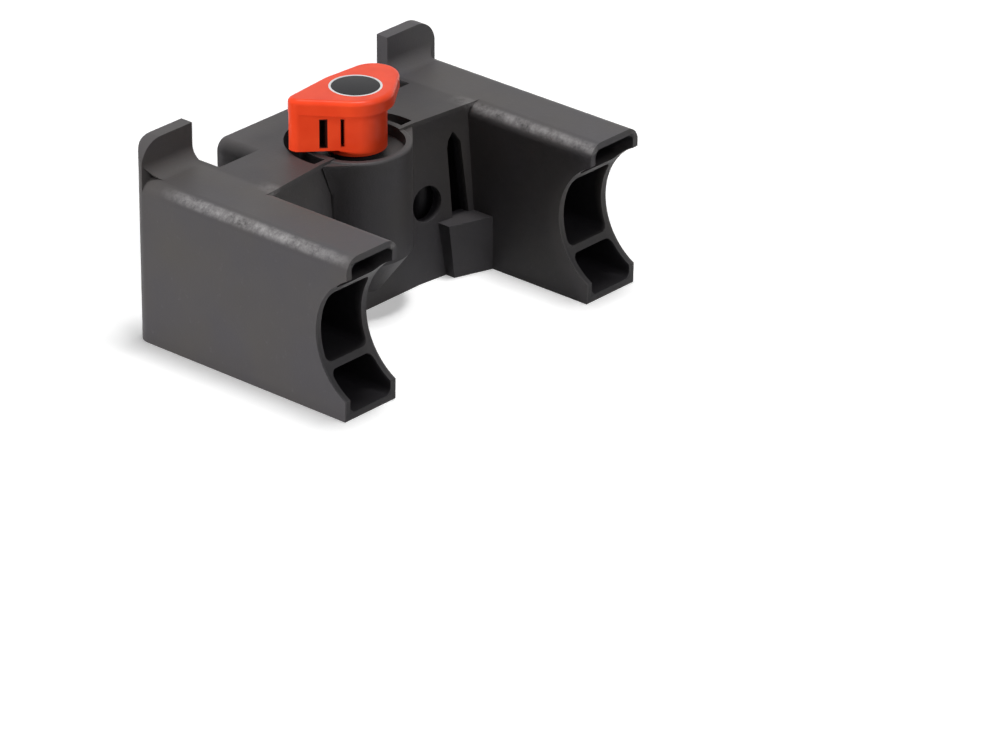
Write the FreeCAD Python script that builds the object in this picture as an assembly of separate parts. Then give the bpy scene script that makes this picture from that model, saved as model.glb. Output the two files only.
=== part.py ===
"""Handlebar bag mount: a hollow moulded bracket with two saddle arms, a red release lever and a latch bolt.

The origin is in the middle of the flat front face, level with the handlebar's axis. X runs along the
handlebar, Y points forward to the bag and Z is up. All sizes are in millimetres. The sizes along Y are
counted from the handlebar's axis, and each piece is moved to the origin when it is written.
"""
import FreeCAD, Part
import math
import os

V = FreeCAD.Vector
UP = V(0, 0, 1)
FORWARD = V(0, 1, 0)
ACROSS = V(1, 0, 0)

# Bracket outside
bracket_width = 94.0
bracket_top = 19.4
bracket_bottom = -18.8
arm_width = 15.8
arm_end_top = 6.9
arm_end_setback = 0.8
front_face = 70.0
plate_rear_top = 44.8
plate_rear_bottom = 41.8
rear_corner_setback = 1.8
lip_overhang = 0.6
lip_thickness = 1.0
wall = 2.4
arm_wall = 1.6
top_edge_radius = 3.5
front_corner_radius = 4.0

# Handlebar saddle and the pockets behind it
saddle_radius = 16.0
web_thickness = 1.4
upper_web_top = 10.5
middle_web_top = -7.5
pocket_front = 60.0
pocket_corner = 1.6

# Ears and the notches beside them
ear_thickness = 3.2
ear_height = 8.7
ear_corner_radius = 6.0
ear_root_radius = 3.6
notch_width = 10.2
notch_gap = 0.7
notch_depth = 7.6
notch_length = 10.5
notch_corner_radius = 2.6

# Tower that carries the lever
tower_from_front = 22.4
tower_radius = 12.4
tower_rim_drop = 0.3
tower_rim_width = 1.5
tower_rim_rounding = 0.7
tower_cup_depth = 2.3
tower_shoulder_x = 14.5
tower_shoulder_height = 10.5
tower_fade_top = -6.0
tower_fade_bottom = -15.0
tower_floor = 2.0
tower_inner_radius = 10.6
tower_chamber_bottom = -6.5
moat_radius = 15.8
moat_depth = 10.0
moat_rear_gap = 1.2
spindle_radius = 4.95
running_clearance = 0.05
lift_clearance = 0.1

# Rear wall features, the same on both sides
hole_from_arm = 13.4
hole_z = -0.7
hole_radius = 4.2
recess_left_from_arm = 6.5
recess_right_from_arm = 1.5
recess_top = 13.8
block_from_arm = 10.5
block_taper = 1.3
block_top = -6.0
block_left_rear = 38.9
block_right_rear = 35.0

# Clamp screws at the front
clamp_screw_radius = 2.45
clamp_screw_length = 38.0
clamp_head_radius = 4.25
clamp_head_height = 5.0
clamp_hex_across = 4.0
clamp_hex_depth = 2.6
clamp_hole_clearance = 0.3
counterbore_clearance = 0.35
counterbore_depth = 6.4
washer_thickness = 1.0

# Bottom cover and its screws
cover_thickness = 2.2
cover_gap = 0.3
post_radius = 3.2
post_from_arm = 7.8
post_rear = 50.2
post_front = 63.6
cover_screw_radius = 1.25
cover_screw_length = 9.0
cover_head_radius = 2.5
cover_head_height = 1.3
thread_clearance = 0.05

# Release lever
lever_top = 32.2
cap_thickness = 3.4
cap_edge_radius = 1.2
cap_middle = (-0.6, -0.2, 8.8)
cap_heel = (8.0, 2.2, 5.8)
cap_tip = (-12.6, 5.2, 2.3)
lever_swing = 45.0
skirt_radius = 6.9
skirt_bottom = 18.3
nose_block_bottom = 20.0
nose_block_inset = 0.1
slot_bottom = 20.9
slot_top = 27.3
outer_slot_width = 1.5
outer_slot_place = 9.5
inner_slot_width = 0.9
inner_slot_place = 5.5
slot_floor = 1.0
badge_radius = 5.4
badge_ring_width = 0.5
badge_depth = 0.6

# Spindle and crank
collar_radius = 6.2
spindle_head_radius = 4.2
spindle_head_flat = 3.2
spindle_head_top = 26.6
spindle_stub = 2.4
crank_radius = 4.6
crank_thickness = 3.0
crank_drop = 0.4
crank_throw = 5.6
crank_pin_radius = 1.5
crank_pin_length = 3.4
crank_screw_radius = 1.4
crank_screw_length = 9.0
crank_head_radius = 2.7
crank_head_height = 1.8

# Latch bolt and its spring
bolt_half_width = 10.5
bolt_bottom = -9.0
bolt_top = -2.2
bolt_rear = 56.0
bolt_reach = 3.8
bolt_bevel = 3.8
bolt_nose_height = 2.4
bolt_clearance = 0.2
fork_outer = -9.2
fork_inner = -3.2
fork_bottom = -5.2
fork_finger = 1.6
fork_corner = 1.5
pin_clearance = 0.3
guide_rib_x = 5.0
guide_rib_thickness = 2.0
guide_wall = 2.2
pedestal_rear = 57.0
spring_x = 5.8
spring_radius = 2.1
spring_wire = 0.4
spring_turns = 5
spring_wire_sides = 6
spring_pocket_gap = 0.3
spring_seat = 52.0
spring_end = 64.0
spring_side_rear = 57.5
tab_thickness = 2.0

# Worked out from the sizes above
outer_x = bracket_width / 2
inner_x = outer_x - arm_width
clamp_screw_x = inner_x + arm_width / 2
post_x = inner_x - post_from_arm
hole_x = inner_x - hole_from_arm
block_left = inner_x - block_from_arm
tower_y = front_face - tower_from_front
tower_top = bracket_top - tower_rim_drop
tower_cup_floor = tower_top - tower_cup_depth
moat_bottom = bracket_top - moat_depth
nose_angle = math.degrees(math.atan2(cap_tip[1], cap_tip[0]))
arm_end_bottom = arm_end_top + arm_end_setback
collar_bottom = tower_cup_floor + lift_clearance
crank_top = tower_floor - crank_drop
crank_bottom = crank_top - crank_thickness
pin_start_angle = 180.0 - lever_swing / 2
bolt_travel = 2 * crank_throw * math.sin(math.radians(lever_swing / 2))
pin_start_y = tower_y + bolt_travel / 2
cover_top = bracket_bottom + cover_thickness
upper_screw_z = (bracket_top - arm_wall + upper_web_top) / 2
lower_screw_z = (middle_web_top - web_thickness + bracket_bottom + arm_wall) / 2


def box(x0, x1, y0, y1, z0, z1):
    """A block between two corners."""
    return Part.makeBox(x1 - x0, y1 - y0, z1 - z0, V(x0, y0, z0))


def post(radius, x, y, z0, z1):
    """An upright cylinder from z0 to z1."""
    return Part.makeCylinder(radius, z1 - z0, V(x, y, z0), UP)


def rod(radius, x, z, y0, y1):
    """A cylinder along Y from y0 to y1."""
    return Part.makeCylinder(radius, y1 - y0, V(x, y0, z), FORWARD)


def prism(points, along):
    """A closed polygon carried along a vector."""
    return Part.Face(Part.makePolygon(points + [points[0]])).extrude(along)


def mirrored(shape):
    """The same shape on the other side of the middle plane."""
    return shape.mirror(V(0, 0, 0), ACROSS)


def both_sides(shape):
    """A shape and its mirror image."""
    return [shape, mirrored(shape)]


def joined(first, others):
    """Several shapes made one."""
    return first.fuse(others).removeSplitter()


def line_edges(shape, direction, keep):
    """The straight edges along a direction whose middle passes the test."""
    found = []
    for edge in shape.Edges:
        if not isinstance(edge.Curve, Part.Line):
            continue
        run = edge.Vertexes[-1].Point - edge.Vertexes[0].Point
        if run.cross(direction).Length < 1e-6 and keep(edge.CenterOfMass):
            found.append(edge)
    return found


def arm():
    """The right arm as a full block, its long top edges and its front corner rounded."""
    side = [V(inner_x, arm_end_top, bracket_top), V(inner_x, front_face, bracket_top),
            V(inner_x, front_face, bracket_bottom), V(inner_x, arm_end_bottom, bracket_bottom)]
    block = prism(side, V(arm_width, 0, 0))
    corner = line_edges(block, UP, lambda p: p.x > outer_x - 1 and p.y > front_face - 1)
    block = block.makeFillet(front_corner_radius, corner)
    long_edges = line_edges(block, FORWARD, lambda p: p.z > bracket_top - 1)
    return block.makeFillet(top_edge_radius, long_edges)


def plate(inset, x_reach, bottom, top):
    """The cross plate, or its inside: a bent plan carried upward along the lean of the rear wall."""
    lean = (plate_rear_top - plate_rear_bottom) / (bracket_top - bracket_bottom)
    slope = rear_corner_setback / (inner_x - tower_shoulder_x)
    rear = plate_rear_bottom + lean * (bottom - bracket_bottom) + inset
    side_rear = rear - slope * (x_reach - tower_shoulder_x)
    far = front_face + 2 * wall
    plan = [V(-x_reach, side_rear, bottom), V(-tower_shoulder_x, rear, bottom),
            V(tower_shoulder_x, rear, bottom), V(x_reach, side_rear, bottom),
            V(x_reach, far, bottom), V(-x_reach, far, bottom)]
    leaning = prism(plan, V(0, lean * (top - bottom), top - bottom))
    return leaning.common(box(-x_reach, x_reach, 0, front_face - inset, bottom, top))


def ear():
    """The right ear: a rounded upright tab on the front edge with a hollow root behind it."""
    ear_top = bracket_top + ear_height
    sink = bracket_top - top_edge_radius
    tab_rear = front_face - ear_thickness
    tab = box(inner_x, outer_x, tab_rear, front_face, sink, ear_top)
    top_corner = line_edges(tab, FORWARD, lambda p: p.x > outer_x - 1 and p.z > ear_top - 1)
    tab = tab.makeFillet(ear_corner_radius, top_corner)
    root_rear = tab_rear - ear_root_radius
    root_top = bracket_top + ear_root_radius
    root = box(inner_x, outer_x, root_rear, tab_rear, sink, root_top)
    hollow = Part.makeCylinder(ear_root_radius, arm_width, V(inner_x, root_rear, root_top), ACROSS)
    root = root.cut([hollow, root_run_out(root_rear, tab_rear)])
    plan = box(inner_x, outer_x, root_rear, front_face, sink, ear_top)
    corner = line_edges(plan, UP, lambda p: p.x > outer_x - 1 and p.y > front_face - 1)
    plan = plan.makeFillet(front_corner_radius, corner)
    return joined(tab, [root]).common(plan)


def root_run_out(rear, front):
    """What is cut from the outer end of an ear's root, so that the rounded edge runs on below it."""
    edge = outer_x - top_edge_radius
    low = bracket_top - top_edge_radius
    corner = box(edge, outer_x + 1, rear - 1, front, low, bracket_top)
    rounding = rod(top_edge_radius, edge, low, rear - 1, front)
    slope = [V(edge, rear - 1, bracket_top), V(outer_x, rear - 1, bracket_top + ear_root_radius),
             V(outer_x + 1, rear - 1, bracket_top + ear_root_radius), V(outer_x + 1, rear - 1, bracket_top)]
    return joined(corner.cut(rounding), [prism(slope, V(0, front - rear + 1, 0))])


def tower():
    """The round tower on the rear wall, which fades into the wall towards the bottom."""
    barrel = post(tower_radius, 0, tower_y, tower_fade_top, tower_top)
    rim = [edge for edge in barrel.Edges if edge.BoundBox.ZMin > tower_top - 0.01]
    barrel = barrel.makeFillet(tower_rim_rounding, rim)
    fade_height = tower_fade_top - tower_fade_bottom
    fade_radius = tower_y - plate_rear_bottom
    fade = Part.makeCone(fade_radius, tower_radius, fade_height, V(0, tower_y, tower_fade_bottom), UP)
    return joined(barrel, [fade] + both_sides(tower_shoulder()))


def tower_shoulder():
    """The right shoulder: a flat-faced wedge from the wall's top edge to the tower's side, fading downward."""
    corner_y = plate_rear_top - lip_overhang
    reach = math.hypot(tower_shoulder_x, corner_y - tower_y)
    turn = math.atan2(corner_y - tower_y, tower_shoulder_x) - math.acos(tower_radius / reach)
    top = tower_top - tower_rim_rounding / 2
    crown = [V(tower_shoulder_x, corner_y, top),
             V(tower_radius * math.cos(turn), tower_y + tower_radius * math.sin(turn), top),
             V(tower_radius / 2, tower_y, top), V(tower_shoulder_x, tower_y, top)]
    foot = V(tower_radius - 1.6, corner_y - 0.6, top - tower_shoulder_height)
    faces = [Part.Face(Part.makePolygon(crown + [crown[0]]))]
    for first, second in zip(crown, crown[1:] + crown[:1]):
        faces.append(Part.Face(Part.makePolygon([first, second, foot, first])))
    wedge = Part.Solid(Part.Shell(faces))
    wedge.fixTolerance(1e-5)
    return wedge if wedge.Volume > 0 else Part.Solid(wedge.reversed())


def moat():
    """The deep ring-shaped gap between the tower and the plate, closed towards the rear wall."""
    rear = plate_rear_top - lip_overhang + moat_rear_gap
    ring = post(moat_radius, 0, tower_y, moat_bottom, bracket_top + 1)
    ring = ring.cut(post(tower_radius, 0, tower_y, moat_bottom, bracket_top + 1))
    return ring.common(box(-moat_radius, moat_radius, rear, front_face, moat_bottom, bracket_top + 1))


def wedge_block():
    """The raised block low on the rear wall, whose rear face turns towards the arm."""
    foot = block_left + block_taper
    side = [V(foot, block_right_rear, bracket_bottom), V(block_left, block_right_rear, block_top),
            V(inner_x + 1, block_right_rear, block_top), V(inner_x + 1, block_right_rear, bracket_bottom)]
    block = prism(side, V(0, plate_rear_top - block_right_rear, 0))
    plan = [V(block_left, block_left_rear, 0), V(inner_x + 1, block_right_rear, 0),
            V(inner_x + 1, plate_rear_top, 0), V(block_left, plate_rear_top, 0)]
    keep = prism(plan, V(0, 0, block_top - bracket_bottom))
    keep.translate(V(0, 0, bracket_bottom))
    return block.common(keep)


def rear_recess():
    """The tall pointed opening in the rear wall between the hole and the arm."""
    left = inner_x - recess_left_from_arm
    right = inner_x - recess_right_from_arm
    start = plate_rear_bottom - 2 * rear_corner_setback
    outline = [V(left + 0.2, start, block_top), V(right, start, block_top),
               V(right - 1.1, start, recess_top - 2.8), V(left + 2.2, start, recess_top - 0.3),
               V(left + 1.7, start, recess_top), V(left + 0.4, start, recess_top - 1.6),
               V(left - 0.1, start, recess_top - 3.4)]
    return prism(outline, V(0, plate_rear_top + wall - 1 - start, 0))


def notch(growth):
    """The notch beside the right ear, grown on its hidden sides for the wall round it."""
    right = inner_x - notch_gap + growth
    left = inner_x - notch_gap - notch_width - growth
    return box(left, right, front_face - notch_length - growth, front_face + 1,
               bracket_top - notch_depth - growth, bracket_top + 1)


def notch_rounding():
    """What is cut from the top corner on the far side of the right notch."""
    edge_x = inner_x - notch_gap - notch_width
    y0 = front_face - notch_length
    corner = box(edge_x - notch_corner_radius, edge_x, y0, front_face + 1,
                 bracket_top - notch_corner_radius, bracket_top + 1)
    keep = rod(notch_corner_radius, edge_x - notch_corner_radius, bracket_top - notch_corner_radius,
               y0, front_face + 1)
    return corner.cut(keep)


def arm_pockets():
    """The three spaces inside the right arm, from its open end to near the front."""
    x0 = inner_x + arm_wall
    x1 = outer_x - arm_wall
    y0 = arm_end_top - 1
    spaces = [(upper_web_top, bracket_top - arm_wall),
              (middle_web_top, upper_web_top - web_thickness),
              (bracket_bottom + arm_wall, middle_web_top - web_thickness)]
    pockets = []
    for low, high in spaces:
        space = box(x0, x1, y0, pocket_front, low, high)
        pockets.append(space.makeFillet(pocket_corner, line_edges(space, FORWARD, lambda p: True)))
    return pockets


def cover_posts(radius, bottom, top):
    """Four upright cylinders at the cover's screw places."""
    places = [(x, y) for x in (-post_x, post_x) for y in (post_rear, post_front)]
    return [post(radius, x, y, bottom, top) for x, y in places]


def plate_inside():
    """The space inside the cross plate, open at the bottom, less all that stands in it."""
    space = plate(wall, inner_x, bracket_bottom, bracket_top - wall)
    kept = both_sides(notch(wall))
    kept += cover_posts(post_radius, cover_top, bracket_top)
    kept.append(post(moat_radius + wall, 0, tower_y, moat_bottom - wall, bracket_top))
    kept.append(post(tower_radius, 0, tower_y, tower_floor, bracket_top))
    for x in (-guide_rib_x, guide_rib_x):
        half = guide_rib_thickness / 2
        kept.append(box(x - half, x + half, pedestal_rear, front_face, bolt_top + bolt_clearance, bracket_top))
    return space.cut(kept)


def clamp_screw_places():
    """The four screw axes at the front, as names with X and Z."""
    return [("left_upper", -clamp_screw_x, upper_screw_z), ("right_upper", clamp_screw_x, upper_screw_z),
            ("left_lower", -clamp_screw_x, lower_screw_z), ("right_lower", clamp_screw_x, lower_screw_z)]


def clamp_holes():
    """The stepped holes for the clamp screws."""
    holes = []
    for name, x, z in clamp_screw_places():
        holes.append(rod(clamp_screw_radius + clamp_hole_clearance, x, z, pocket_front - 1, front_face))
        holes.append(rod(clamp_head_radius + counterbore_clearance, x, z,
                         front_face - counterbore_depth, front_face + 1))
    return holes


def lip():
    """The thin lip along the rear edge of the plate's top."""
    return plate(-lip_overhang, inner_x + arm_width / 2, bracket_top - lip_thickness, bracket_top).common(
        box(-outer_x, outer_x, 0, tower_y, bracket_bottom, bracket_top))


def bracket_body():
    """The one-piece moulded bracket."""
    shell = joined(plate(0, inner_x + arm_width / 2, bracket_bottom, bracket_top),
                   both_sides(arm()) + both_sides(ear()) + both_sides(wedge_block()) + [tower(), lip()])
    cuts = []
    for pocket in arm_pockets():
        cuts += both_sides(pocket)
    cuts.append(Part.makeCylinder(saddle_radius, bracket_width + 2, V(-outer_x - 1, 0, 0), ACROSS))
    cuts += both_sides(notch(0)) + both_sides(notch_rounding())
    cuts += [moat(), post(tower_radius - tower_rim_width, 0, tower_y, tower_cup_floor, bracket_top + 1)]
    cuts.append(plate_inside())
    cuts.append(post(spindle_radius + running_clearance, 0, tower_y, tower_floor - 1, tower_top))
    cuts.append(post(tower_inner_radius, 0, tower_y, tower_chamber_bottom, tower_floor))
    cuts += both_sides(rod(hole_radius, hole_x, hole_z, tower_y - tower_radius, plate_rear_top + wall))
    cuts += both_sides(rear_recess())
    cuts += clamp_holes()
    cuts += cover_posts(cover_screw_radius + thread_clearance, cover_top, cover_top + cover_screw_length)
    side = bolt_half_width + bolt_clearance
    cuts.append(box(-side, side, front_face - wall - 1, front_face + 1,
                    bolt_bottom - bolt_clearance, bolt_top + bolt_clearance))
    return shell.cut(cuts).removeSplitter()


def base_cover():
    """The cover under the plate, with the bolt's guide and the spring's seat on it."""
    floor = plate(wall + cover_gap, inner_x - cover_gap, bracket_bottom, cover_top)
    guide_x = bolt_half_width + bolt_clearance
    front = front_face - wall - cover_gap
    pedestal = box(-guide_x - guide_wall, guide_x + guide_wall, pedestal_rear, front,
                   cover_top, bolt_bottom - bolt_clearance)
    cheek = box(guide_x, guide_x + guide_wall, pedestal_rear, front, cover_top, bolt_top)
    tab = box(spring_x - spring_radius - 1, spring_x + spring_radius + 1, spring_seat - tab_thickness,
              spring_seat, cover_top, bolt_top - bolt_clearance)
    cover = joined(floor, [pedestal, tab] + both_sides(cheek))
    holes = cover_posts(cover_screw_radius + thread_clearance, bracket_bottom - 1, cover_top + 1)
    holes += cover_posts(cover_head_radius + thread_clearance, bracket_bottom - 1,
                         bracket_bottom + cover_head_height)
    return cover.cut(holes)


def cover_screw(x, y):
    """A pan head screw that holds the cover, head flush with the underside."""
    head = post(cover_head_radius, x, y, bracket_bottom, bracket_bottom + cover_head_height)
    shank = post(cover_screw_radius, x, y, bracket_bottom, cover_top + cover_screw_length - 1)
    slot = box(x - cover_head_radius * 0.7, x + cover_head_radius * 0.7, y - 0.3, y + 0.3,
               bracket_bottom, bracket_bottom + cover_head_height / 2)
    cross = box(x - 0.3, x + 0.3, y - cover_head_radius * 0.7, y + cover_head_radius * 0.7,
                bracket_bottom, bracket_bottom + cover_head_height / 2)
    return joined(head, [shank]).cut([slot, cross])


def hexagon(x, y, z, across):
    """A hexagonal recess outline in the plane of the front face."""
    reach = across / math.sqrt(3)
    return [V(x + reach * math.cos(math.radians(60 * k)), y, z + reach * math.sin(math.radians(60 * k)))
            for k in range(6)]


def clamp_screw(x, z):
    """A socket head screw that draws a strap's end into the arm."""
    seat = front_face - counterbore_depth + washer_thickness
    head = rod(clamp_head_radius, x, z, seat, seat + clamp_head_height)
    shank = rod(clamp_screw_radius, x, z, seat - clamp_screw_length, seat)
    socket = prism(hexagon(x, seat + clamp_head_height - clamp_hex_depth, z, clamp_hex_across),
                   V(0, clamp_hex_depth, 0))
    return joined(head, [shank]).cut(socket)


def clamp_washer(x, z):
    """The plain washer under a clamp screw's head."""
    seat = front_face - counterbore_depth
    ring = rod(clamp_head_radius, x, z, seat, seat + washer_thickness)
    return ring.cut(rod(clamp_screw_radius + thread_clearance, x, z, seat, seat + washer_thickness))


def hull(rounds, bottom, height):
    """An upright block round several circles, each with X and Y from the lever's axis and a radius."""
    sides = []
    for (x0, y0, r0), (x1, y1, r1) in zip(rounds, rounds[1:] + rounds[:1]):
        run = V(x1 - x0, y1 - y0, 0)
        share = (r0 - r1) / run.Length
        run.normalize()
        normal = run * share + V(run.y, -run.x, 0) * math.sqrt(1 - share * share)
        sides.append((V(x0, y0, 0) + normal * r0, V(x1, y1, 0) + normal * r1, normal))
    pieces = []
    for side, following, (x, y, r) in zip(sides, sides[1:] + sides[:1], rounds[1:] + rounds[:1]):
        pieces.append(Part.LineSegment(side[0], side[1]).toShape())
        start = math.atan2(side[2].y, side[2].x)
        turn = (math.atan2(following[2].y, following[2].x) - start) % (2 * math.pi)
        middle = V(x + r * math.cos(start + turn / 2), y + r * math.sin(start + turn / 2), 0)
        pieces.append(Part.Arc(side[1], middle, following[0]).toShape())
    block = Part.Face(Part.Wire(pieces)).extrude(V(0, 0, height))
    block.translate(V(0, tower_y, bottom))
    return block


def lever_slots():
    """Two narrow slots on each side of the lever, between its nose and its round skirt."""
    slots = []
    for place, width in ((outer_slot_place, outer_slot_width), (inner_slot_place, inner_slot_width)):
        for side in (1, -1):
            low = min(side * slot_floor, side * skirt_radius)
            slot = box(place - width / 2, place + width / 2, low, low + skirt_radius - slot_floor,
                       slot_bottom, slot_top)
            slot.rotate(V(0, 0, 0), UP, nose_angle)
            slot.translate(V(0, tower_y, 0))
            slots.append(slot)
    return slots


def spindle_head(bottom, top):
    """The spindle's upper end with two flats, which is also the socket in the lever."""
    round_part = post(spindle_head_radius, 0, tower_y, bottom, top)
    flats = box(-spindle_head_radius, spindle_head_radius, tower_y - spindle_head_flat,
                tower_y + spindle_head_flat, bottom, top)
    return round_part.common(flats)


def release_lever():
    """The red lever: a rounded three-cornered cap over a round skirt and a nose block."""
    cap_bottom = lever_top - cap_thickness
    cap = hull([cap_tip, cap_middle, cap_heel, cap_middle], cap_bottom, cap_thickness)
    rim = [edge for edge in cap.Edges if min(v.Z for v in edge.Vertexes) > lever_top - 0.01]
    cap = cap.makeFillet(cap_edge_radius, rim)
    skirt = post(skirt_radius, 0, tower_y, skirt_bottom, cap_bottom)
    nose = hull([(cap_tip[0], cap_tip[1], cap_tip[2] - nose_block_inset), (0, 0, skirt_radius)],
                nose_block_bottom, cap_bottom - nose_block_bottom)
    lever = joined(cap, [skirt, nose])
    cuts = lever_slots()
    cuts.append(post(badge_radius + badge_ring_width, 0, tower_y, lever_top - badge_depth, lever_top + 1))
    cuts.append(spindle_head(skirt_bottom, spindle_head_top))
    return lever.cut(cuts).removeSplitter()


def lever_badge():
    """The plain disc let into the top of the lever."""
    return post(badge_radius, 0, tower_y, lever_top - badge_depth, lever_top)


def badge_ring():
    """The thin ring round the disc."""
    ring = post(badge_radius + badge_ring_width, 0, tower_y, lever_top - badge_depth, lever_top)
    return ring.cut(lever_badge())


def square_stub(grow):
    """The spindle's square lower end, which the crank sits on."""
    return box(-spindle_stub, spindle_stub, tower_y - spindle_stub, tower_y + spindle_stub,
               crank_bottom, crank_top + grow)


def lever_spindle():
    """The spindle through the tower, with a collar under the lever and a square end below."""
    shaft = post(spindle_radius, 0, tower_y, crank_top, collar_bottom)
    collar = post(collar_radius, 0, tower_y, collar_bottom, skirt_bottom)
    spindle = joined(shaft, [collar, spindle_head(skirt_bottom, spindle_head_top), square_stub(1)])
    return spindle.cut(post(crank_screw_radius, 0, tower_y, crank_bottom, crank_bottom + crank_screw_length))


def drive_crank():
    """The crank under the tower, whose pin draws the bolt back."""
    hub = post(crank_radius, 0, tower_y, crank_bottom, crank_top)
    turn = math.radians(pin_start_angle)
    pin_x = crank_throw * math.cos(turn)
    pin_y = tower_y + crank_throw * math.sin(turn)
    eye = post(crank_pin_radius + 0.8, pin_x, pin_y, crank_bottom, crank_top)
    pin = post(crank_pin_radius, pin_x, pin_y, crank_bottom - crank_pin_length, crank_top)
    return joined(hub, [eye, pin]).cut(square_stub(0))


def crank_screw():
    """The screw that holds the crank on the spindle."""
    head = post(crank_head_radius, 0, tower_y, crank_bottom - crank_head_height, crank_bottom)
    shank = post(crank_screw_radius, 0, tower_y, crank_bottom, crank_bottom + crank_screw_length - 1)
    slot = box(-crank_head_radius, crank_head_radius, tower_y - 0.4, tower_y + 0.4,
               crank_bottom - crank_head_height, crank_bottom - crank_head_height / 2)
    return joined(head, [shank]).cut(slot)


def latch_bolt():
    """The sliding bolt: a bevelled nose at the front and a fork at the back for the crank's pin."""
    tip = front_face + bolt_reach
    side = [V(-bolt_half_width, bolt_rear, bolt_bottom), V(-bolt_half_width, tip, bolt_bottom),
            V(-bolt_half_width, tip, bolt_bottom + bolt_nose_height),
            V(-bolt_half_width, tip - bolt_bevel, bolt_top), V(-bolt_half_width, bolt_rear, bolt_top)]
    body = prism(side, V(2 * bolt_half_width, 0, 0))
    gap = crank_pin_radius + pin_clearance
    fork_rear = pin_start_y - gap - fork_finger
    plan = [V(fork_outer, bolt_rear + 1, fork_bottom), V(fork_outer, fork_rear + fork_corner, fork_bottom),
            V(fork_outer + fork_corner, fork_rear, fork_bottom), V(fork_inner, fork_rear, fork_bottom),
            V(fork_inner, bolt_rear + 1, fork_bottom)]
    fork = prism(plan, V(0, 0, bolt_top - fork_bottom))
    slot_end = -crank_throw - gap - lift_clearance
    slot = box(slot_end, fork_inner + 1, pin_start_y - gap, pin_start_y + gap, fork_bottom - 1, bolt_top + 1)
    pocket_radius = spring_radius + spring_wire + spring_pocket_gap
    spring_z = (bolt_bottom + bolt_top) / 2
    pocket = rod(pocket_radius, spring_x, spring_z, bolt_rear - 1, spring_end)
    relief = box(spring_x - pocket_radius - 1, bolt_half_width + 1, bolt_rear - 1, spring_side_rear,
                 bolt_bottom - 1, bolt_top + 1)
    return joined(body, [fork]).cut([slot, pocket, relief])


def bolt_spring():
    """The coil spring between the cover's seat and the bolt."""
    reach = spring_end - spring_seat - 2 * spring_wire
    helix = Part.makeHelix(reach / spring_turns, reach, spring_radius)
    corners = [math.radians(360 / spring_wire_sides * k) for k in range(spring_wire_sides)]
    outline = [V(spring_radius + spring_wire * math.cos(a), 0, spring_wire * math.sin(a)) for a in corners]
    section = Part.makePolygon(outline + [outline[0]])
    coil = Part.Wire(helix).makePipeShell([section], True, True)
    coil.rotate(V(0, 0, 0), ACROSS, -90)
    coil.translate(V(spring_x, spring_seat + spring_wire, (bolt_bottom + bolt_top) / 2))
    return coil


def export(name, shape):
    """Moves one piece to the origin and writes it under its name, and stops if it isn't one sound solid."""
    solids = shape.Solids
    assert len(solids) == 1 and solids[0].isValid(), name + " is not one sound solid"
    solids[0].translate(V(0, -front_face, 0))
    solids[0].exportStep("parts/" + name + ".step")


os.makedirs("parts", exist_ok=True)
export("bracket_body", bracket_body())
export("base_cover", base_cover())
for number, (x, y) in enumerate([(a, b) for a in (-post_x, post_x) for b in (post_rear, post_front)], 1):
    export("cover_screw_%d" % number, cover_screw(x, y))
for place, x, z in clamp_screw_places():
    export("clamp_screw_" + place, clamp_screw(x, z))
    export("clamp_washer_" + place, clamp_washer(x, z))
export("release_lever", release_lever())
export("lever_badge", lever_badge())
export("badge_ring", badge_ring())
export("lever_spindle", lever_spindle())
export("drive_crank", drive_crank())
export("crank_screw", crank_screw())
export("latch_bolt", latch_bolt())
export("bolt_spring", bolt_spring())
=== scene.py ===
"""Looks of the handlebar bag mount: finishes, softened edges, light, floor and camera.

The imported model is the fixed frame. The moulded nodes are carried over with their small edge radii,
the badge is worked out as a crowned cap, and every finish is procedural.
"""
import logging
import math
from dataclasses import dataclass, field
from enum import Enum
from typing import Any

import bmesh
import bpy
import numpy as np
from mathutils import Matrix, Vector


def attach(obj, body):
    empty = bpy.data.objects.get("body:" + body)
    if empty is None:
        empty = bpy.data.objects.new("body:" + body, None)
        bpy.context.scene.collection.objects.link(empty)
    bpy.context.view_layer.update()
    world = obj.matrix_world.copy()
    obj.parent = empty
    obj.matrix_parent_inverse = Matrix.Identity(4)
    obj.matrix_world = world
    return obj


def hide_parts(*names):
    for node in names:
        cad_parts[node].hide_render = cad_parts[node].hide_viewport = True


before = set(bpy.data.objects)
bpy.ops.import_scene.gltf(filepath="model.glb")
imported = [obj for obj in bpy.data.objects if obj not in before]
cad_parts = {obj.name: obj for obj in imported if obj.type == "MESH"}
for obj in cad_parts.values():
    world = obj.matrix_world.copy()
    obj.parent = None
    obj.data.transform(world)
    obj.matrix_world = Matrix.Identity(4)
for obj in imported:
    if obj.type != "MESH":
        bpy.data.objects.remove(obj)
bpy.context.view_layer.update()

MM = 0.001
LOG = logging.getLogger("bag_mount")


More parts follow.
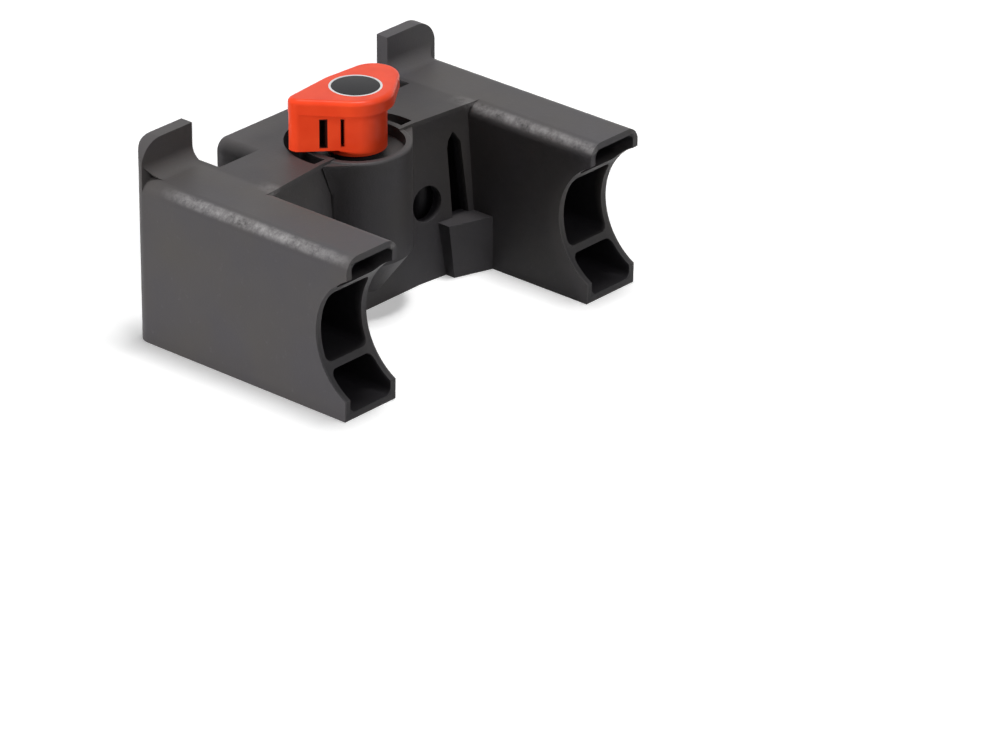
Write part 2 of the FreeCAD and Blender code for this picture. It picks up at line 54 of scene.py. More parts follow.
class Link:
    """One socket of a node graph, with arithmetic that adds Math nodes."""

    def __init__(self, graph: "Graph", socket: bpy.types.NodeSocket) -> None:
        """Wraps a socket of the graph."""
        self.graph = graph
        self.socket = socket

    def _math(self, operation: str, *values: Any) -> "Link":
        """Adds a Math node on the given values and returns its result."""
        return self.graph.out("ShaderNodeMath", {"operation": operation}, dict(enumerate(values)))

    def __add__(self, other: Any) -> "Link":
        """Sum."""
        return self._math("ADD", self, other)

    __radd__ = __add__

    def __sub__(self, other: Any) -> "Link":
        """Difference."""
        return self._math("SUBTRACT", self, other)

    def __rsub__(self, other: Any) -> "Link":
        """Difference the other way round."""
        return self._math("SUBTRACT", other, self)

    def __mul__(self, other: Any) -> "Link":
        """Product."""
        return self._math("MULTIPLY", self, other)

    __rmul__ = __mul__

    def __pow__(self, other: Any) -> "Link":
        """Power."""
        return self._math("POWER", self, other)

    def __rpow__(self, other: Any) -> "Link":
        """Power the other way round."""
        return self._math("POWER", other, self)

    def __truediv__(self, other: Any) -> "Link":
        """Quotient."""
        return self._math("DIVIDE", self, other)

    def __rtruediv__(self, other: Any) -> "Link":
        """Quotient the other way round."""
        return self._math("DIVIDE", other, self)

    def size(self) -> "Link":
        """The value without its sign."""
        return self._math("ABSOLUTE", self)

    def positive(self) -> "Link":
        """The value, or 0 where it is below 0."""
        return self._math("MAXIMUM", self, 0.0)

    def over(self, start: float, end: float) -> "Link":
        """A weight that grows from 0 to 1 between two values, in either direction."""
        return self.graph.out("ShaderNodeMapRange", {"clamp": True},
                              {"Value": self, "From Min": start, "From Max": end})

    def within(self, low: float, high: float, fade: float) -> "Link":
        """A weight of 1 between two values, which fades to 0 outside them."""
        return self.over(low - fade, low) * self.over(high + fade, high)

    def limited(self) -> "Link":
        """The value held between 0 and 1."""
        return self.graph.out("ShaderNodeClamp", {}, {0: self})


class Graph:
    """The node graph of one material or of the world."""

    def __init__(self, owner: bpy.types.Material | bpy.types.World) -> None:
        """Empties the owner's graph."""
        owner.use_nodes = True
        self.owner = owner
        self.tree = owner.node_tree
        self.tree.nodes.clear()

    def node(self, kind: str, settings: dict[str, Any], inputs: dict[Any, Any]) -> bpy.types.Node:
        """Adds one node.

        Args:
            kind: The node's type name.
            settings: Its properties, set first.
            inputs: Values or links for its sockets, by name or place.

        Returns:
            The new node.
        """
        made = self.tree.nodes.new(kind)
        for key, value in settings.items():
            setattr(made, key, value)
        for key, value in inputs.items():
            if isinstance(value, Link):
                self.tree.links.new(value.socket, made.inputs[key])
            else:
                made.inputs[key].default_value = value
        return made

    def out(self, kind: str, settings: dict[str, Any], inputs: dict[Any, Any], output: Any = 0) -> Link:
        """Adds one node as node() does, and returns one of its outputs."""
        return Link(self, self.node(kind, settings, inputs).outputs[output])

    def place(self) -> Link:
        """The place on the object, in metres."""
        return self.out("ShaderNodeTexCoord", {}, {}, "Object")

    def axes(self) -> tuple[Link, Link, Link]:
        """The place's X, Y and Z, each in millimetres."""
        split = self.node("ShaderNodeSeparateXYZ", {}, {0: self.place()})
        x, y, z = (Link(self, socket) / MM for socket in split.outputs)
        return x, y, z

    def seen_directly(self) -> Link:
        """Tells the rays that show a thing from those that light others by it.

        Returns:
            1 for rays from the camera, in gloss and through glass, and 0 for all others.
        """
        rays = self.node("ShaderNodeLightPath", {}, {})
        kinds = ("Is Camera Ray", "Is Glossy Ray", "Is Transmission Ray")
        camera, glossy, transmission = (Link(self, rays.outputs[kind]) for kind in kinds)
        return (camera + glossy + transmission).limited()

    def noise(self, size: float, detail: float = 2.0, roughness: float = 0.5) -> Link:
        """Noise between 0 and 1 whose features have the given size in metres."""
        return self.out("ShaderNodeTexNoise", {}, {"Vector": self.place(), "Scale": 1.0 / size,
                                                   "Detail": detail, "Roughness": roughness})

    def blend(self, factor: Any, first: Any, second: Any) -> Link:
        """A colour between two others."""
        return self.out("ShaderNodeMix", {"data_type": "RGBA"}, {0: factor, 6: first, 7: second}, 2)

    def bump(self, height: Link, distance: float) -> Link:
        """A surface normal from a height, whose full range stands for the given distance in metres."""
        return self.out("ShaderNodeBump", {}, {"Height": height, "Distance": distance, "Strength": 1.0})

    def finish(self, inputs: dict[str, Any]) -> bpy.types.Material:
        """Adds the surface shader and the output node.

        Args:
            inputs: Values or links for the shader's sockets.

        Returns:
            The material that the graph belongs to.
        """
        shader = self.out("ShaderNodeBsdfPrincipled", {}, inputs)
        self.node("ShaderNodeOutputMaterial", {}, {"Surface": shader})
        return self.owner


def colour(red: float, green: float, blue: float) -> tuple[float, float, float, float]:
    """A linear colour with full alpha."""
    return (red, green, blue, 1.0)


def grey(level: float) -> tuple[float, float, float, float]:
    """A linear grey with full alpha."""
    return colour(level, level, level)


@dataclass(frozen=True)
class GrainedPlastic:
    """Moulded plastic with a fine eroded grain, faint clouds of tone and small pale rubs."""

    name: str
    tone: tuple[float, float, float]
    warm_tone: tuple[float, float, float]
    roughness: float = 0.52
    grain_size: float = 0.45 * MM
    grain_height: float = 0.03 * MM
    cloud_size: float = 22.0 * MM
    rub_size: float = 1.6 * MM
    cloud_fade: tuple[float, float] = (0.38, 0.66)
    rub_fade: tuple[float, float] = (0.62, 0.78)
    rub_level: float = 0.25
    rub_lift: float = 1.9
    rub_offset: float = 0.01
    coarse_ratio: float = 3.1
    coarse_level: float = 0.5
    gloss_ratio: float = 0.4
    gloss_spread: float = 0.14
    shine: float = 0.25

    def toned(self, graph: Graph, tone: Link) -> Link:
        """Changes the tone from place to place. The plain finish leaves it as it is."""
        return tone

    def material(self) -> bpy.types.Material:
        """Builds the finish: grain is two noises added, clouds blend two tones, rubs lift the tone.

        Returns:
            The new material.
        """
        graph = Graph(bpy.data.materials.new(self.name))
        clouds = graph.noise(self.cloud_size, detail=3.0).over(*self.cloud_fade)
        base = graph.blend(clouds, colour(*self.tone), colour(*self.warm_tone))
        rubs = graph.noise(self.rub_size, detail=4.0, roughness=0.7).over(*self.rub_fade)
        pale = tuple(min(1.0, level * self.rub_lift + self.rub_offset) for level in self.tone)
        tone = self.toned(graph, graph.blend(rubs * self.rub_level, base, colour(*pale)))
        coarse = graph.noise(self.grain_size * self.coarse_ratio)
        grain = graph.noise(self.grain_size, detail=3.0, roughness=0.6) + coarse * self.coarse_level
        gloss = (graph.noise(self.cloud_size * self.gloss_ratio, detail=3.0) * self.gloss_spread
                 + (self.roughness - self.gloss_spread / 2))
        return graph.finish({"Base Color": tone, "Roughness": gloss, "Specular IOR Level": self.shine,
                             "Normal": graph.bump(grain, self.grain_height)})


@dataclass(frozen=True)
class BracketPlastic(GrainedPlastic):
    """The bracket's plastic, with painted shade in its hollows and between the arms, and a painted
    highlight, broken up like wear, along the arms' top edges.

    Lengths are in millimetres in the row's frame. A pair named as a fade holds the value where a weight
    is 0 and the value where it is 1.
    """

    painted_shade_tone: tuple[float, float, float] = (0.012, 0.011, 0.013)
    edge_wear_and_highlight_tone: tuple[float, float, float] = (0.34, 0.33, 0.33)
    border: float = 0.05
    border_fade: float = 0.2
    arm_inner: float = 31.2
    arm_outer: float = 47.0
    bar_y: float = -70.0
    mouth_fade: tuple[float, float] = (16.2, 18.2)
    pocket_sides: tuple[float, float] = (32.8, 45.4)
    pocket_heights: tuple[float, float] = (-17.2, 17.8)
    pocket_front_fade: tuple[float, float] = (-9.7, -9.9)
    wall_foot_y: float = -28.2
    wall_foot_z: float = -18.8
    wall_lean: float = 3.0 / 38.2
    wall_bend_x: float = 14.5
    wall_slope: float = 1.8 / 16.7
    wall_fade: tuple[float, float] = (0.25, 1.6)
    plate_side_fade: tuple[float, float] = (31.3, 31.1)
    plate_top_fade: tuple[float, float] = (16.6, 14.5)
    plate_foot_fade: tuple[float, float] = (-18.3, -17.9)
    plate_front_fade: tuple[float, float] = (-11.2, -11.6)
    arm_shade_side_fade: tuple[float, float] = (32.4, 31.3)
    arm_shade_front_fade: tuple[float, float] = (-3.0, -7.0)
    arm_shade_level: float = 0.3
    rim_inset: float = 0.7
    rim_inset_fade: float = 0.6
    rim_height_fade: tuple[float, float] = (2.0, -10.0)
    rim_rear_fade: tuple[float, float] = (-42.0, -46.0)
    rim_foot_fade: tuple[float, float] = (-18.75, -18.2)
    rim_level: float = 0.75
    rounding: float = 3.5
    edge_top: float = 19.4
    edge_width_fade: tuple[float, float] = (2.8, 0.4)
    edge_start_fade: tuple[float, float] = (0.9, 1.6)
    outer_mouth_fade: tuple[float, float] = (-66.0, -52.0)
    outer_front_fade: tuple[float, float] = (-8.0, -18.0)
    inner_front_fade: tuple[float, float] = (-22.0, -30.0)
    inner_level: float = 0.8
    streak_size: float = 2.4 * MM
    streak_fade: tuple[float, float] = (0.32, 0.62)
    streak_level: float = 0.85

    def toned(self, graph: Graph, tone: Link) -> Link:
        """Blends in painted shade in the hollows and between the arms, then a painted highlight with
        streaky wear on the rounded top edges.

        Args:
            graph: The material's graph.
            tone: The plain plastic's tone.

        Returns:
            The tone with painted shade, and the painted highlight with wear.
        """
        x, y, z = graph.axes()
        aside = x.size()
        # Painted shade on the arms' inner faces, which face each other.
        arm_shade = aside.over(*self.arm_shade_side_fade) * y.over(*self.arm_shade_front_fade) * self.arm_shade_level
        # Painted shade: the pockets, the recesses behind the rear wall and the saddle's lower rims darken
        # towards near black, on top of the arms' inner faces.
        painted_shade = self.in_pockets(aside, y, z) + self.in_plate(aside, y, z) + self.on_rim(aside, y, z) + arm_shade
        tone = graph.blend(painted_shade.limited(), tone, colour(*self.painted_shade_tone))
        # Partly wear, partly painted highlight: the middle of the rounded top edges is lightened in
        # streaks, where light catches the rounding.
        streaks = graph.noise(self.streak_size, detail=5.0, roughness=0.75).over(*self.streak_fade)
        outer = self.on_edge(aside - (self.arm_outer - self.rounding), z)
        inner = self.on_edge((self.arm_inner + self.rounding) - aside, z)
        edge_wear_and_highlight = (outer * y.over(*self.outer_mouth_fade) * y.over(*self.outer_front_fade)
                  + inner * y.over(*self.inner_front_fade) * self.inner_level)
        wear_and_highlight_weight = (edge_wear_and_highlight * streaks * self.streak_level).limited()
        return graph.blend(wear_and_highlight_weight, tone, colour(*self.edge_wear_and_highlight_tone))

    def in_pockets(self, aside: Link, y: Link, z: Link) -> Link:
        """How deep a place is inside an arm's pockets, by its distance from the bar's axis, as a weight for
        painted shade.

        Args:
            aside: The distance from the middle plane.
            y: The place's Y.
            z: Its height.

        Returns:
            A weight of 0 at the mouth and outside the pockets, and 1 deep inside.
        """
        depth = (((y - self.bar_y) ** 2.0 + z.size() ** 2.0) ** 0.5).over(*self.mouth_fade)
        inner, outer = self.pocket_sides
        low, high = self.pocket_heights
        across = aside.within(inner - self.border, outer + self.border, self.border_fade)
        upright = z.within(low - self.border, high + self.border, self.border_fade)
        return depth * across * upright * y.over(*self.pocket_front_fade)

    def in_plate(self, aside: Link, y: Link, z: Link) -> Link:
        """How deep a place is behind the leaning and bent face of the rear wall, as a weight for painted
        shade.

        The face's Y grows evenly with the height, and falls evenly with the distance aside past the bend.

        Args:
            aside: The distance from the middle plane.
            y: The place's Y.
            z: Its height.

        Returns:
            A weight of 0 at the face and 1 inside the plate.
        """
        wall = ((z - self.wall_foot_z) * self.wall_lean + self.wall_foot_y
                - (aside - self.wall_bend_x).positive() * self.wall_slope)
        depth = (y - wall).over(*self.wall_fade)
        upright = z.over(*self.plate_top_fade) * z.over(*self.plate_foot_fade)
        return depth * upright * aside.over(*self.plate_side_fade) * y.over(*self.plate_front_fade)

    def on_rim(self, aside: Link, y: Link, z: Link) -> Link:
        """How dark the painted shade on the rims of an arm's mouth is: darker towards the lower end of the
        saddle.

        Args:
            aside: The distance from the middle plane.
            y: The place's Y.
            z: Its height.

        Returns:
            A weight of at most the rims' level.
        """
        across = aside.within(self.arm_inner + self.rim_inset, self.arm_outer - self.rim_inset,
                              self.rim_inset_fade)
        lower = z.over(*self.rim_height_fade) * z.over(*self.rim_foot_fade)
        return across * lower * y.over(*self.rim_rear_fade) * self.rim_level

    def on_edge(self, out: Link, z: Link) -> Link:
        """Nearness to the middle of a rounded top edge, where the painted highlight lies.

        Args:
            out: How far a place lies outside the rounding's centre, across the arm.
            z: Its height.

        Returns:
            A weight of 1 where the rounding faces half up and half aside.
        """
        rise = z - (self.edge_top - self.rounding)
        middle = (out - rise).size().over(*self.edge_width_fade)
        return middle * out.over(*self.edge_start_fade) * rise.over(*self.edge_start_fade)


@dataclass(frozen=True)
class SatinPlastic:
    """Smooth coloured plastic with a soft shine, a slight flow unevenness and fine handling marks."""

    name: str
    tone: tuple[float, float, float]
    deep_tone: tuple[float, float, float]
    roughness: float = 0.34
    flow_size: float = 6.0 * MM
    mark_size: float = 0.5 * MM
    flow_fade: tuple[float, float] = (0.35, 0.7)
    flow_ratio: float = 0.5
    mark_gloss: float = 0.12
    mark_height: float = 0.05
    flow_height: float = 0.02 * MM
    shine: float = 0.3

    def toned(self, graph: Graph, tone: Link) -> Link:
        """Changes the tone from place to place. The plain finish leaves it as it is."""
        return tone

    def material(self) -> bpy.types.Material:
        """Builds the finish: flow noise blends two tones, marks vary the roughness and the bump.

        Returns:
            The new material.
        """
        graph = Graph(bpy.data.materials.new(self.name))
        flow = graph.noise(self.flow_size).over(*self.flow_fade)
        tone = self.toned(graph, graph.blend(flow, colour(*self.tone), colour(*self.deep_tone)))
        marks = graph.noise(self.mark_size, detail=4.0, roughness=0.7)
        gloss = marks * self.mark_gloss + (self.roughness - self.mark_gloss / 2)
        height = graph.noise(self.flow_size * self.flow_ratio) + marks * self.mark_height
        return graph.finish({"Base Color": tone, "Roughness": gloss, "Specular IOR Level": self.shine,
                             "Normal": graph.bump(height, self.flow_height)})


@dataclass(frozen=True)
class LeverPlastic(SatinPlastic):
    """The lever's plastic, with painted shade deep in the slots of its sides.

    Lengths are in millimetres and angles in degrees, in the row's frame with the lever at rest.
    """

    slot_shade_tone: tuple[float, float, float] = (0.03, 0.008, 0.006)
    axis_y: float = -22.4
    nose_angle: float = 157.57
    slots: tuple[tuple[float, float], ...] = ((9.5, 1.5), (5.5, 0.9))
    slot_heights: tuple[float, float] = (20.9, 27.3)
    depth_fade: tuple[float, float] = (5.8, 4.2)
    height_margin: float = 0.1
    height_fade: float = 0.2
    width_fade: tuple[float, float] = (0.15, 0.05)

    def toned(self, graph: Graph, tone: Link) -> Link:
        """Blends in painted shade in the slots, darkest at their floors.

        Args:
            graph: The material's graph.
            tone: The plain plastic's tone.

        Returns:
            The tone with dirt.
        """
        x, y, z = graph.axes()
        cosine, sine = math.cos(math.radians(self.nose_angle)), math.sin(math.radians(self.nose_angle))
        along = x * cosine + (y - self.axis_y) * sine
        aside = ((y - self.axis_y) * cosine - x * sine).size()
        low, high = self.slot_heights
        upright = z.within(low - self.height_margin, high + self.height_margin, self.height_fade)
        wide, narrow = (self.across_slot(along, place, width) for place, width in self.slots)
        # Painted shade: the slots darken towards their floors.
        slot_shade = ((wide + narrow) * aside.over(*self.depth_fade) * upright).limited()
        return graph.blend(slot_shade, tone, colour(*self.slot_shade_tone))

    def across_slot(self, along: Link, place: float, width: float) -> Link:
        """A weight of 1 inside one slot's width."""
        start, end = self.width_fade
        return (along - place).size().over(width / 2 + start, width / 2 + end)


@dataclass(frozen=True)
class Lacquer:
    """A printed and lacquered face with faint dust marks."""

    name: str
    tone: tuple[float, float, float]
    roughness: float = 0.35
    shine: float = 0.12
    dust_size: float = 0.8 * MM
    dust_fade: tuple[float, float] = (0.5, 0.8)
    dust_lift: float = 0.03
    dust_level: float = 0.5
    dust_gloss: float = 0.15

    def material(self) -> bpy.types.Material:
        """Builds the finish: fine noise varies tone and roughness a little.

        Returns:
            The new material.
        """
        graph = Graph(bpy.data.materials.new(self.name))
        dust = graph.noise(self.dust_size, detail=4.0, roughness=0.7).over(*self.dust_fade)
        pale = tuple(min(1.0, level + self.dust_lift) for level in self.tone)
        tone = graph.blend(dust * self.dust_level, colour(*self.tone), colour(*pale))
        return graph.finish({"Base Color": tone, "Roughness": dust * self.dust_gloss + self.roughness,
                             "Specular IOR Level": self.shine})


@dataclass(frozen=True)
class Steel:
    """Metal with fine brushed or blackened variation."""

    name: str
    tone: tuple[float, float, float]
    metallic: float = 1.0
    roughness: float = 0.3
    stain_size: float = 2.0 * MM
    stain_fade: tuple[float, float] = (0.4, 0.75)
    stain_tone: float = 0.7
    stain_gloss: float = 0.16
    scratch_size: float = 0.12 * MM
    scratch_height: float = 0.006 * MM

    def material(self) -> bpy.types.Material:
        """Builds the finish: stains darken the tone and dull the shine.

        Returns:
            The new material.
        """
        graph = Graph(bpy.data.materials.new(self.name))
        stain = graph.noise(self.stain_size, detail=4.0, roughness=0.65).over(*self.stain_fade)
        dark = tuple(level * self.stain_tone for level in self.tone)
        tone = graph.blend(stain, colour(*self.tone), colour(*dark))
        scratches = graph.noise(self.scratch_size)
        return graph.finish({"Base Color": tone, "Metallic": self.metallic,
                             "Roughness": stain * self.stain_gloss + self.roughness,
                             "Normal": graph.bump(scratches, self.scratch_height)})


class Finish(Enum):
    """The finishes of the mount, each named for the record's material slot."""

    BRACKET = BracketPlastic("bracket_plastic", (0.072, 0.068, 0.073), (0.079, 0.073, 0.070))
    COVER = GrainedPlastic("cover_plastic", (0.03, 0.03, 0.032), (0.034, 0.032, 0.031))
    BOLT = GrainedPlastic("bolt_plastic", (0.024, 0.024, 0.026), (0.028, 0.027, 0.026), 0.4,
                          grain_height=0.01 * MM)
    LEVER = LeverPlastic("lever_red", (0.96, 0.078, 0.022), (0.88, 0.060, 0.016), shine=0.2)
    ACETAL = SatinPlastic("acetal_black", (0.02, 0.02, 0.022), (0.026, 0.026, 0.028), 0.3)
    BADGE = Lacquer("badge_black", (0.012, 0.012, 0.014))
    RING = Lacquer("badge_white", (0.82, 0.82, 0.82), 0.3)
    SPRING = Steel("spring_steel", (0.55, 0.55, 0.56), 1.0, 0.28)
    ZINC = Steel("zinc_steel", (0.6, 0.6, 0.61), 1.0, 0.3)
    BLACK_STEEL = Steel("black_steel", (0.028, 0.028, 0.03), 0.6, 0.38)


class Workshop:
    """Keeps each finish's material and puts pieces on their bodies."""

    def __init__(self) -> None:
        """Starts with no material made."""
        self.materials: dict[Finish, bpy.types.Material] = {}

    def material(self, finish: Finish) -> bpy.types.Material:
        """The material of a finish, made once."""
        if finish not in self.materials:
            self.materials[finish] = finish.value.material()
        return self.materials[finish]

    def dress_node(self, node: str, finish: Finish) -> None:
        """Gives a CAD node a finish in every material slot.

        Args:
            node: The node's name.
            finish: Its finish.
        """
        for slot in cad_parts[node].material_slots:
            slot.material = self.material(finish)
        LOG.info("%s: dressed in %s", node, finish.value.name)

    def add(self, name: str, mesh: bpy.types.Mesh, body: str, finish: Finish,
            stands_for: tuple[str, ...] = ()) -> bpy.types.Object:
        """Puts a finished mesh into the scene.

        Args:
            name: The piece's name.
            mesh: Its mesh, in metres, in the row's frame.
            body: The body that it rides on.
            finish: Its finish.
            stands_for: The CAD nodes that it replaces.

        Returns:
            The new object.
        """
        mesh.materials.clear()
        mesh.materials.append(self.material(finish))
        piece = bpy.data.objects.new(name, mesh)
        bpy.context.scene.collection.objects.link(piece)
        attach(piece, body)
        if stands_for:
            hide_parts(*stands_for)
        LOG.info("%s: %d faces on %s", name, len(mesh.polygons), body)
        return piece


@dataclass
class SoftenedMoulding:
    """A CAD node carried over with the small edge radii that its mould or tool gives it.

    The mesh is a merged copy of the node's. Its flat facets are joined to whole faces, and a bevel of
    a fixed width runs along every edge sharper than the limit.
    """

    node: str
    name: str
    body: str
    finish: Finish
    edge_radius: float
    segments: int = 3
    sharp_angle: float = 32.0
    flat_angle: float = 0.4
    weld: float = 1e-6
    normal_weight: int = 80

    def mesh(self) -> bpy.types.Mesh:
        """Merges a copy of the node's mesh and joins its flat facets.

        Returns:
            The copy.
        """
        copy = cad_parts[self.node].data.copy()
        copy.name = self.name
        work = bmesh.new()
        work.from_mesh(copy)
        bmesh.ops.remove_doubles(work, verts=work.verts, dist=self.weld)
        bmesh.ops.dissolve_limit(work, angle_limit=math.radians(self.flat_angle), verts=work.verts,
                                 edges=work.edges)
        work.to_mesh(copy)
        work.free()
        copy.shade_smooth()
        return copy

    def build(self, shop: Workshop) -> bpy.types.Object:
        """Builds the piece with live bevel and normal modifiers.

        Args:
            shop: The workshop that finishes it.

        Returns:
            The new object.
        """
        piece = shop.add(self.name, self.mesh(), self.body, self.finish, (self.node,))
        bevel = piece.modifiers.new("edges", "BEVEL")
        bevel.limit_method = "ANGLE"
        bevel.angle_limit = math.radians(self.sharp_angle)
        bevel.width = self.edge_radius
        bevel.segments = self.segments
        bevel.use_clamp_overlap = True
        bevel.harden_normals = False
        weighted = piece.modifiers.new("normals", "WEIGHTED_NORMAL")
        weighted.keep_sharp = False
        weighted.weight = self.normal_weight
        return piece


@dataclass
class CrownedBadge:
    """The disc in the lever's top: a slightly crowned cap with a rounded rim, on a polar grid."""

    axis: tuple[float, float] = (0.0, -22.4 * MM)
    radius: float = 5.4 * MM
    top: float = 32.2 * MM
    depth: float = 0.6 * MM
    crown: float = 0.2 * MM
    rim_radius: float = 0.14 * MM
    sectors: int = 96
    crown_rings: int = 14
    rim_rings: int = 5
    crease_angle: float = 40.0

    def profile(self) -> np.ndarray:
        """The half outline from beside the crown's middle over the rim to the underside.

        The crown falls with the square of the distance from the middle. The rim is a quarter circle, and
        below it the side goes straight down.

        Returns:
            Radius and height of each ring.
        """
        flat = self.radius - self.rim_radius
        radii = np.linspace(flat / self.crown_rings, flat, self.crown_rings)
        crown = np.stack([radii, self.top + self.crown * (1.0 - (radii / flat) ** 2)], axis=1)
        turn = np.linspace(0.0, np.pi / 2, self.rim_rings + 1)[1:]
        rim = np.stack([flat + self.rim_radius * np.sin(turn),
                        self.top - self.rim_radius * (1.0 - np.cos(turn))], axis=1)
        return np.concatenate([crown, rim, [[self.radius, self.top - self.depth]]])

    def mesh(self) -> bpy.types.Mesh:
        """Turns the half outline round the lever's axis.

        A point of the grid is the ring's radius times the sine and cosine of the sector's angle, at the
        ring's height. A fan closes the crown's middle, and one face closes the underside.

        Returns:
            The closed mesh.
        """
        rings = self.profile()
        turn = np.linspace(0.0, 2 * np.pi, self.sectors, endpoint=False)
        x = self.axis[0] + rings[:, :1] * np.cos(turn)
        y = self.axis[1] + rings[:, :1] * np.sin(turn)
        z = np.repeat(rings[:, 1:], self.sectors, axis=1)
        grid = np.stack([x, y, z], axis=2).reshape(-1, 3)
        middle = np.array([[*self.axis, self.top + self.crown]])
        here = np.arange(self.sectors)
        after = np.roll(here, -1)
        starts = np.arange(len(rings) - 1)[:, None] * self.sectors
        sides = np.stack([starts + here, starts + here + self.sectors, starts + after + self.sectors,
                          starts + after], axis=2).reshape(-1, 4)
        fan = np.stack([np.full(self.sectors, len(grid)), here, after], axis=1)
        foot = here[::-1] + (len(rings) - 1) * self.sectors
        mesh = bpy.data.meshes.new("badge_cap")
        mesh.from_pydata(np.concatenate([grid, middle]).tolist(), [],
                         sides.tolist() + fan.tolist() + [foot.tolist()])
        mesh.shade_smooth()
        mesh.set_sharp_from_angle(angle=math.radians(self.crease_angle))
        return mesh

    def build(self, shop: Workshop) -> bpy.types.Object:
        """Puts the cap on the lever."""
        return shop.add("badge_cap", self.mesh(), "lever", Finish.BADGE, ("lever_badge",))


@dataclass(frozen=True)
class Lamp:
    """A rectangular soft lamp. Gloss shows it only if it is mirrored."""

    name: str
    place: tuple[float, float, float]
    size: tuple[float, float]
    power: float
    mirrored: bool = True

    def hang(self, target: Vector) -> None:
        """Puts the lamp in its place.

        Args:
            target: The point that it faces.
        """
        data = bpy.data.lights.new(self.name, "AREA")
        data.shape = "RECTANGLE"
        data.size, data.size_y = self.size
        data.energy = self.power
        lamp = bpy.data.objects.new(self.name, data)
        lamp.visible_glossy = self.mirrored
        bpy.context.scene.collection.objects.link(lamp)
        turn = (target - Vector(self.place)).to_track_quat("-Z", "Y").to_matrix().to_4x4()
        lamp.matrix_world = Matrix.Translation(self.place) @ turn


@dataclass
class Studio:
    """A pale floor, a white surround, soft lamps and the camera at the photograph's angle."""

    floor_level: float = -18.8 * MM
    floor_reach: float = 3.0
    floor_tone: float = 0.96
    floor_glow: float = 0.30
    floor_bounce: float = 0.12
    floor_roughness: float = 0.9
    surround_level: float = 0.04
    lamps: tuple[Lamp, ...] = (
        Lamp("left_lamp", (-1.2, 0.06, 0.045), (0.4, 0.08), 11.0, mirrored=False),
        Lamp("top_lamp", (0.12, -0.06, 1.2), (0.3, 0.3), 9.5),
        Lamp("front_lamp", (-0.05, -1.05, 0.70), (0.5, 0.5), 3.6),
        Lamp("high_left_lamp", (-0.9, 0.4, 1.0), (0.4, 0.4), 1.0))
    azimuth: float = -47.564
    elevation: float = 24.844
    roll: float = 0.233
    distance: float = 1.3923
    focal_pixels: float = 6386.7
    target: tuple[float, float, float] = (0.0, -0.035, 0.0)
    target_pixel: tuple[float, float] = (399.04, 236.52)
    image_size: tuple[int, int] = (1000, 750)
    sensor: float = 36.0
    nearest: float = 0.01
    farthest: float = 100.0

    def floor(self) -> None:
        """A large pale floor that shows as white, keeps the shadow and throws little light back."""
        reach = self.floor_reach
        mesh = bpy.data.meshes.new("floor")
        corners = [(-reach, -reach, self.floor_level), (reach, -reach, self.floor_level),
                   (reach, reach, self.floor_level), (-reach, reach, self.floor_level)]
        mesh.from_pydata(corners, [], [(0, 1, 2, 3)])
        graph = Graph(bpy.data.materials.new("floor_pale"))
        seen = graph.seen_directly()
        tone = graph.blend(seen, grey(self.floor_bounce), grey(self.floor_tone))
        glow = graph.blend(seen, grey(0.0), grey(self.floor_glow))
        mesh.materials.append(graph.finish({"Base Color": tone, "Roughness": self.floor_roughness,
                                            "Specular IOR Level": 0.0,
                                            "Emission Color": glow, "Emission Strength": 1.0}))
        floor = bpy.data.objects.new("floor", mesh)
        bpy.context.scene.collection.objects.link(floor)

    def surround(self) -> None:
        """The world: faint even light on the object, white to the camera and in gloss."""
        world = bpy.data.worlds.new("surround")
        bpy.context.scene.world = world
        graph = Graph(world)
        light = graph.out("ShaderNodeBackground", {}, {"Color": grey(1.0), "Strength": self.surround_level})
        white = graph.out("ShaderNodeBackground", {}, {"Color": grey(1.0), "Strength": 1.0})
        mix = graph.out("ShaderNodeMixShader", {}, {0: graph.seen_directly(), 1: light, 2: white})
        graph.node("ShaderNodeOutputWorld", {}, {"Surface": mix})

    def camera(self) -> None:
        """The camera at the fitted place, turned so that the target falls on its pixel."""
        az, el, roll = (math.radians(a) for a in (self.azimuth, self.elevation, self.roll))
        back = Vector((math.sin(az) * math.cos(el), -math.cos(az) * math.cos(el), math.sin(el)))
        right = Vector((math.cos(az), math.sin(az), 0.0))
        up = back.cross(right)
        right, up = (right * math.cos(roll) - up * math.sin(roll),
                     right * math.sin(roll) + up * math.cos(roll))
        place = Vector(self.target) + back * self.distance
        width, height = self.image_size
        ray = (right * ((width / 2 - self.target_pixel[0]) / self.focal_pixels)
               + up * ((self.target_pixel[1] - height / 2) / self.focal_pixels) - back)
        forward = ray.normalized()
        side = forward.cross(up).normalized()
        top = side.cross(forward)
        turn = Matrix((side, top, -forward)).transposed().to_4x4()
        data = bpy.data.cameras.new("camera")
        data.sensor_width = self.sensor
        data.lens = self.sensor * self.focal_pixels / width
        data.clip_start = self.nearest
        data.clip_end = self.farthest
        camera = bpy.data.objects.new("camera", data)
        bpy.context.scene.collection.objects.link(camera)
        camera.matrix_world = Matrix.Translation(place) @ turn
        bpy.context.scene.camera = camera

    def build(self) -> None:
        """Sets up floor, surround, lamps, camera and view transform."""
        self.floor()
        self.surround()
        for lamp in self.lamps:
            lamp.hang(Vector(self.target))
        self.camera()
        bpy.context.scene.view_settings.view_transform = "Standard"


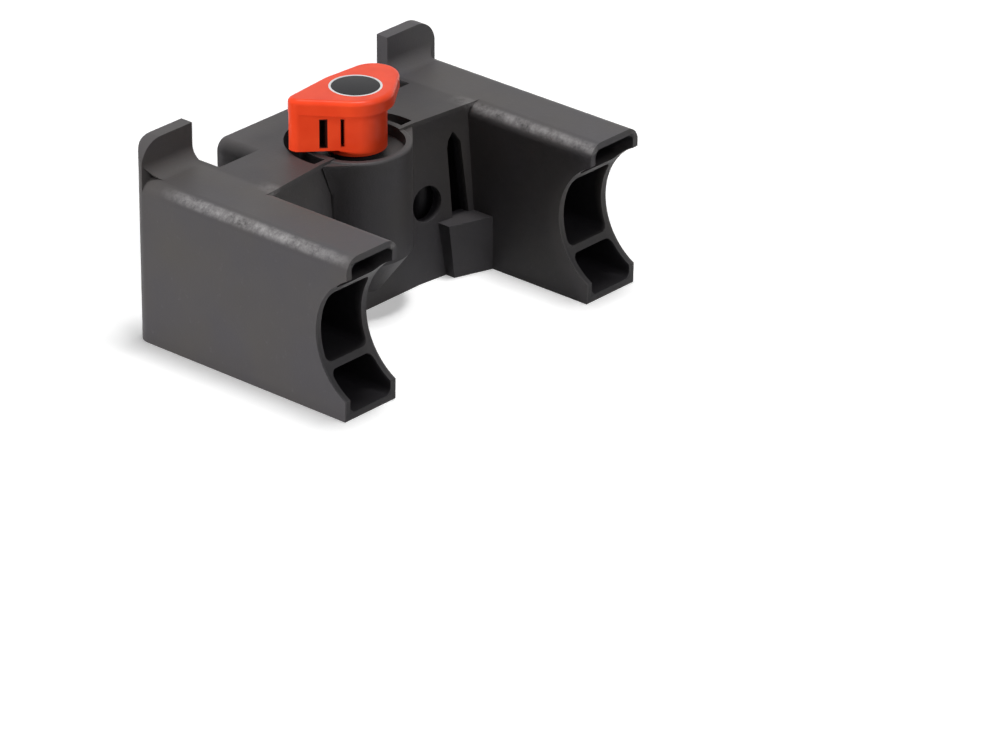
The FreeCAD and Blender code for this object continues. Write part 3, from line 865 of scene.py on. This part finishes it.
@dataclass
class Bracket:
    """The bracket with its cover, the cover's screws and the clamp screws with their washers."""

    moulding_edge: float = 0.45 * MM
    cover_edge: float = 0.25 * MM
    cover_screws: int = 4
    clamp_places: tuple[str, ...] = ("left_upper", "right_upper", "left_lower", "right_lower")

    def build(self, shop: Workshop) -> None:
        """Builds both mouldings and dresses the screws and washers.

        Args:
            shop: The workshop that finishes them.
        """
        SoftenedMoulding("bracket_body", "bracket_moulding", "bracket", Finish.BRACKET,
                         self.moulding_edge).build(shop)
        SoftenedMoulding("base_cover", "cover_moulding", "bracket", Finish.COVER,
                         self.cover_edge).build(shop)
        for number in range(1, self.cover_screws + 1):
            shop.dress_node("cover_screw_%d" % number, Finish.ZINC)
        for place in self.clamp_places:
            shop.dress_node("clamp_screw_" + place, Finish.BLACK_STEEL)
            shop.dress_node("clamp_washer_" + place, Finish.BLACK_STEEL)


@dataclass
class ReleaseLever:
    """The lever with its badge and ring, and the spindle, crank and screw that turn with it."""

    lever_edge: float = 0.3 * MM
    turned_edge: float = 0.2 * MM

    def build(self, shop: Workshop) -> None:
        """Builds the lever's pieces and dresses the ring and the screw.

        Args:
            shop: The workshop that finishes them.
        """
        SoftenedMoulding("release_lever", "lever_moulding", "lever", Finish.LEVER,
                         self.lever_edge).build(shop)
        SoftenedMoulding("lever_spindle", "spindle_turned", "lever", Finish.ACETAL,
                         self.turned_edge).build(shop)
        SoftenedMoulding("drive_crank", "crank_moulding", "lever", Finish.ACETAL,
                         self.turned_edge).build(shop)
        CrownedBadge().build(shop)
        shop.dress_node("badge_ring", Finish.RING)
        shop.dress_node("crank_screw", Finish.ZINC)


@dataclass
class LatchBolt:
    """The bolt and the spring that it squeezes."""

    bolt_edge: float = 0.35 * MM

    def build(self, shop: Workshop) -> None:
        """Builds the bolt and dresses its spring."""
        SoftenedMoulding("latch_bolt", "bolt_moulding", "bolt", Finish.BOLT, self.bolt_edge).build(shop)
        shop.dress_node("bolt_spring", Finish.SPRING)


@dataclass
class BagMount:
    """The whole mount, put together from its three sub-assemblies."""

    shop: Workshop = field(default_factory=Workshop)
    bracket: Bracket = field(default_factory=Bracket)
    lever: ReleaseLever = field(default_factory=ReleaseLever)
    bolt: LatchBolt = field(default_factory=LatchBolt)

    def build(self) -> None:
        """Builds the sub-assemblies in order."""
        self.bracket.build(self.shop)
        self.lever.build(self.shop)
        self.bolt.build(self.shop)


def main() -> None:
    """Builds the mount and the studio."""
    logging.basicConfig(level=logging.INFO)
    BagMount().build()
    Studio().build()


if __name__ == "__main__":
    main()
